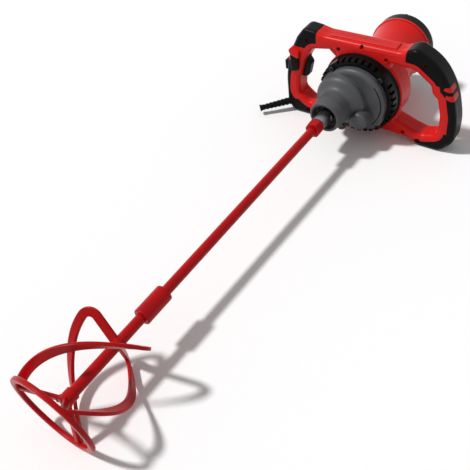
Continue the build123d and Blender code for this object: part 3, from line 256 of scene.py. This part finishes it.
SHELL = dict(grain=0.35, depth=0.01, edge=0.9, worn=(0.80, 0.05, 0.04), wear=0.2, specular=0.14)
MATERIALS = {
    "shell_red": surface("shell_red", SHELL_RED, 0.30, **SHELL),
    "soft_black": surface("soft_black", SOFT_BLACK, 0.30, grain=0.4, depth=0.015, edge=1.2,
                          worn=(0.012, 0.012, 0.012), wear=0.4, specular=0.07),
    "black_plastic": surface("black_plastic", HARD_BLACK, 0.30, grain=0.5, depth=0.012, edge=0.6,
                             worn=(0.03, 0.03, 0.03), wear=0.4, specular=0.08),
    "casting_grey": surface("casting_grey", CASTING_GREY, 0.45, metallic=0.15, vary=0.1, patch=25,
                            grain=0.7, depth=0.04, edge=0.9, worn=(0.16, 0.16, 0.17), wear=0.4,
                            specular=0.25),
    "whisk_red": surface("whisk_red", PAINT_RED, 0.32, vary=0.1, patch=30, grain=0.9, depth=0.03, edge=0.5,
                         worn=(0.55, 0.02, 0.02), wear=0.25, specular=0.15),
    "bright_steel": surface("bright_steel", (0.26, 0.26, 0.27), 0.34, metallic=1.0, vary=0.04, grain=0.5,
                            depth=0.006, edge=0.3, brushed=(1.0, 0.04, 1.0)),
    "black_steel": surface("black_steel", (0.03, 0.03, 0.032), 0.38, metallic=0.8, grain=0.4, depth=0.01,
                           edge=0.3, worn=(0.25, 0.25, 0.25), wear=0.5),
    "laminations": surface("laminations", (0.16, 0.17, 0.19), 0.45, metallic=0.9, grain=0.6, depth=0.05,
                           edge=0.3, brushed=(0.05, 1.0, 0.05)),
    "copper": surface("copper", (0.62, 0.25, 0.12), 0.35, metallic=0.9, grain=0.6, depth=0.05, edge=0.4,
                      brushed=(1.0, 0.1, 1.0)),
    "carbon": surface("carbon", (0.018, 0.018, 0.02), 0.6, grain=0.6, depth=0.02),
    "seal_rubber": surface("seal_rubber", (0.008, 0.0075, 0.0075), 0.5, grain=0.5, depth=0.01, specular=0.2),
    "bronze": surface("bronze", (0.42, 0.26, 0.11), 0.4, metallic=0.9, grain=0.4, depth=0.02),
    "pin_brown": surface("pin_brown", (0.075, 0.062, 0.048), 0.45, metallic=0.5, grain=0.5, depth=0.02),
}
SPLIT_SHELL = surface("shell_red_split", SHELL_RED, 0.30, parting=True, **SHELL)

for part in frame["record"]["subparts"]:
    shown = frame["nodes"][part["node"]]
    shown.data.materials.clear()
    split = part["node"] in ("front_frame_shell", "rear_frame_shell")
    shown.data.materials.append(SPLIT_SHELL if split else MATERIALS[part["material_slot"]])


# ---- weld beads on the whisk ----
def at(radius, degrees, y):
    """A point and its outward direction, by radius and angle about the spindle axis."""
    angle = math.radians(degrees)
    outward = Vector((math.cos(angle), 0, -math.sin(angle)))
    return outward * radius + Vector((0, y, 0)), outward


def rounded_loop(half_a, half_b, corner):
    """Points round a rectangle with round corners, evenly spaced."""
    points = []
    arc_steps = 4
    for sign_a, sign_b, start in ((1, 1, 0), (-1, 1, 90), (-1, -1, 180), (1, -1, 270)):
        for index in range(arc_steps + 1):
            angle = math.radians(start + 90 * index / arc_steps)
            points.append((sign_a * (half_a - corner) + corner * math.cos(angle),
                           sign_b * (half_b - corner) + corner * math.sin(angle)))
    points.append(points[0])
    even = []
    for (a0, b0), (a1, b1) in zip(points, points[1:]):
        parts = max(1, round(math.hypot(a1 - a0, b1 - b0) / BEAD_STEP))
        even += [(a0 + (a1 - a0) * k / parts, b0 + (b1 - b0) * k / parts) for k in range(parts)]
    return even


def foot_bead(degrees, y, radius, half_a, half_b, lean):
    """Bead round a flat bar's foot on a round bar; lean turns the foot about its own axis."""
    path = []
    for a, b in rounded_loop(half_a, half_b, min(half_a, half_b) * 0.5):
        sideways = a * math.cos(lean) - b * math.sin(lean)
        upward = a * math.sin(lean) + b * math.cos(lean)
        round_way = math.degrees(math.asin(max(-0.97, min(0.97, sideways / radius))))
        path.append(at(radius, degrees + round_way, y + upward))
    return path, True


def blade_foot(turn):
    """Where the middle of a blade's arm meets the shaft."""
    slope = math.asin(BEND_MID_R / BEND_X)
    along = (math.cos(slope), math.sin(slope) * math.cos(BLADE_LEAD), math.sin(slope) * math.sin(BLADE_LEAD))
    reach = ROD_R / math.hypot(along[0], along[1])
    return turn + BLADE_SWEEP + math.degrees(math.atan2(along[1], along[0])), BLADE_TOP + reach * along[2]


def ring_foot_beads(turn):
    """Straight beads on both sides of a blade where it stands on the ring."""
    sides = []
    half = BLADE_T / math.sin(BLADE_LEAD) / 2
    for side in (-1, 1):
        path = []
        for index in range(RING_BEAD_POINTS):
            width = RING_OUT_R - RING_IN_R - 2 * RING_BEAD_INSET
            radius = RING_IN_R + RING_BEAD_INSET + width * index / (RING_BEAD_POINTS - 1)
            past = max(RING_IN_R + RING_ROUND - radius, radius - RING_OUT_R + RING_ROUND, 0.0)
            dip = RING_ROUND - math.sqrt(RING_ROUND**2 - past**2)
            place, _ = at(radius, turn + FOOT_SHIFT + side * math.degrees(half / radius), RING_TOP - dip)
            path.append((place, Vector((0, 1, 0))))
        sides.append((path, False))
    return sides


def ring_arm_bead(turn):
    """Bead under and beside a lower arm where it meets the inside of the ring."""
    middle = ARM_START - RING_IN_R * ARM_FALL
    low, high = middle - ARM_T / 2 - ARM_SPREAD, RING_TOP - ARM_BEAD_DROP
    half = ARM_W / 2 + ARM_SPREAD
    corners = [(-half, high), (-half, low), (half, low), (half, high)]
    path = []
    for (u0, y0), (u1, y1) in zip(corners, corners[1:]):
        parts = max(2, round(math.hypot(u1 - u0, y1 - y0) / BEAD_STEP))
        for k in range(parts):
            u, y = u0 + (u1 - u0) * k / parts, y0 + (y1 - y0) * k / parts
            place, outward = at(RING_IN_R, turn + math.degrees(u / RING_IN_R), y)
            path.append((place, -outward))
    return path, False


def add_bead(vertices, faces, path, closed, chance):
    """A rippled round bead that follows a path of points and surface directions."""
    count = len(path)
    first = len(vertices)
    walked = 0.0
    for index, (place, outward) in enumerate(path):
        before = path[index - 1][0] if index or closed else place
        after = path[(index + 1) % count][0] if index < count - 1 or closed else place
        forward = (after - before).normalized()
        across = forward.cross(outward).normalized()
        up = across.cross(forward).normalized()
        walked += (place - path[index - 1][0]).length if index else 0.0
        ripple = 1 + RIPPLE_SHARE * math.sin(2 * math.pi * walked / BEAD_RIPPLE)
        ripple += chance.uniform(-BEAD_CHANCE, BEAD_CHANCE)
        size = BEAD_R * ripple * (1.0 if closed or 0 < index < count - 1 else BEAD_END)
        for corner in range(BEAD_SIDES):
            angle = 2 * math.pi * corner / BEAD_SIDES
            point = place + (across * math.cos(angle) + up * math.sin(angle) * BEAD_FLATNESS) * size
            vertices.append(point * MM)
    for index in range(count if closed else count - 1):
        low, high = first + index * BEAD_SIDES, first + (index + 1) % count * BEAD_SIDES
        for corner in range(BEAD_SIDES):
            beside = (corner + 1) % BEAD_SIDES
            faces.append((low + corner, low + beside, high + beside, high + corner))
    if not closed:
        faces.append(tuple(first + corner for corner in reversed(range(BEAD_SIDES))))
        faces.append(tuple(first + (count - 1) * BEAD_SIDES + corner for corner in range(BEAD_SIDES)))


def make_welds():
    paths = []
    for turn in TURNS:
        angle, y = blade_foot(turn)
        paths.append(foot_bead(angle, y, ROD_R, BLADE_W / 2, BLADE_T / 2, BLADE_LEAD))
        arm_y = ARM_START - HUB_R * ARM_FALL
        paths.append(foot_bead(turn, arm_y, HUB_R, ARM_W / 2, ARM_T / 2 + ARM_SPREAD, 0.0))
        paths += ring_foot_beads(turn)
        paths.append(ring_arm_bead(turn))
    chance = random.Random(7)
    vertices, faces = [], []
    for path, closed in paths:
        add_bead(vertices, faces, path, closed, chance)
    mesh = bpy.data.meshes.new("weld_beads")
    mesh.from_pydata([tuple(v) for v in vertices], [], faces)
    mesh.polygons.foreach_set("use_smooth", [True] * len(mesh.polygons))
    mesh.materials.append(MATERIALS["whisk_red"])
    welds = bpy.data.objects.new("weld_beads", mesh)
    bpy.context.collection.objects.link(welds)
    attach(welds, "whisk")


# ---- switch guard and corner web ----
def rounded_block(name, near, far, rounding, slot):
    """A block with soft edges between two outlines with the same number of corners."""
    form = bmesh.new()
    front, back = [[form.verts.new(Vector((MOTOR_X + x, y, z)) * MM) for x, y, z in outline]
                   for outline in (near, far)]
    form.faces.new(front)
    form.faces.new(list(reversed(back)))
    for index in range(len(front)):
        beside = (index + 1) % len(front)
        form.faces.new((front[beside], front[index], back[index], back[beside]))
    bmesh.ops.recalc_face_normals(form, faces=form.faces[:])
    bmesh.ops.bevel(form, geom=form.edges[:], offset=rounding * MM, offset_type="OFFSET",
                    segments=ROUND_STEPS, profile=0.5, affect="EDGES", clamp_overlap=True)
    mesh = bpy.data.meshes.new(name)
    form.to_mesh(mesh)
    form.free()
    mesh.polygons.foreach_set("use_smooth", [True] * len(mesh.polygons))
    mesh.materials.append(MATERIALS[slot])
    block = bpy.data.objects.new(name, mesh)
    bpy.context.collection.objects.link(block)
    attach(block, "machine")
    return block


def make_switch_guard():
    guard = rounded_block("switch_guard", GUARD_FRONT, GUARD_BACK, GUARD_ROUND, "shell_red")
    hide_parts("switch_housing")
    rounded_block("switch_insert", INSERT_FRONT, INSERT_BACK, INSERT_ROUND, "soft_black")


def make_corner_web():
    near, far = [[(x, y, z) for x, z in WEB_OUTLINE] for y in WEB_Y]
    rounded_block("corner_web", near, far, WEB_ROUND, "shell_red")


# ---- stage ----
def make_floor():
    along = (BUMPER_REST - RING_REST).normalized()
    across = Vector((1, 0, 0))
    corners = [RING_REST + across * (a * FLOOR_SIDE) + along * (b * FLOOR_SIDE)
               for a, b in ((-1, -1), (1, -1), (1, 1), (-1, 1))]
    mesh = bpy.data.meshes.new("floor")
    mesh.from_pydata([tuple(c) for c in corners], [], [(0, 1, 2, 3)])
    floor = bpy.data.objects.new("floor", mesh)
    bpy.context.collection.objects.link(floor)
    shader = Shader("floor_white")
    seen = shader.add("ShaderNodeLightPath")
    straight = shader.maths("MAXIMUM", seen.outputs["Is Camera Ray"], seen.outputs["Is Glossy Ray"])
    dark, pale = [(tone, tone, tone, 1.0) for tone in FLOOR_TONES]
    tone = shader.mix(shader.noise(300, 2), dark, pale)
    shader.set("Base Color", shader.mix(straight, tone, (1.0, 1.0, 1.0, 1.0)))
    shader.set("Roughness", 0.9)
    shader.set("Specular IOR Level", 0.1)
    mesh.materials.append(shader.material)


def make_world():
    """White to the eye and in reflections, and a soft fill on everything else."""
    world = bpy.data.worlds.new("studio")
    bpy.context.scene.world = world
    world.use_nodes = True
    tree = world.node_tree
    tree.nodes.clear()
    output = tree.nodes.new("ShaderNodeOutputWorld")
    background = tree.nodes.new("ShaderNodeBackground")
    background.inputs["Color"].default_value = (1.0, 1.0, 1.0, 1.0)
    path = tree.nodes.new("ShaderNodeLightPath")
    seen = path.outputs["Is Camera Ray"]
    for ray in ("Is Glossy Ray", "Is Transmission Ray"):
        either = tree.nodes.new("ShaderNodeMath")
        either.operation = "MAXIMUM"
        tree.links.new(seen, either.inputs[0])
        tree.links.new(path.outputs[ray], either.inputs[1])
        seen = either.outputs[0]
    level = tree.nodes.new("ShaderNodeMapRange")
    level.inputs["To Min"].default_value = FILL_STRENGTH
    level.inputs["To Max"].default_value = 1.0
    tree.links.new(seen, level.inputs["Value"])
    tree.links.new(level.outputs["Result"], background.inputs["Strength"])
    tree.links.new(background.outputs["Background"], output.inputs["Surface"])


def make_lights():
    key = bpy.data.lights.new("key", "SUN")
    key.energy = KEY_STRENGTH
    key.angle = KEY_SOFTNESS
    lamp = bpy.data.objects.new("key", key)
    lamp.rotation_mode = "QUATERNION"
    lamp.rotation_quaternion = KEY_DROP.to_track_quat("-Z", "Y")
    bpy.context.collection.objects.link(lamp)


def make_camera():
    data = bpy.data.cameras.new("camera")
    data.sensor_width = SENSOR
    data.lens = FOCAL_PIXELS / IMAGE_SIDE * SENSOR
    data.clip_start = 0.05
    data.clip_end = 200.0
    camera = bpy.data.objects.new("camera", data)
    turn = Matrix((CAMERA_RIGHT, CAMERA_UP, -CAMERA_FORWARD)).transposed().to_4x4()
    camera.matrix_world = Matrix.Translation(CAMERA_AT) @ turn
    bpy.context.collection.objects.link(camera)
    bpy.context.scene.camera = camera


make_welds()
make_switch_guard()
make_corner_web()
make_floor()
make_world()
make_lights()
make_camera()
bpy.context.scene.view_settings.view_transform = "Standard"
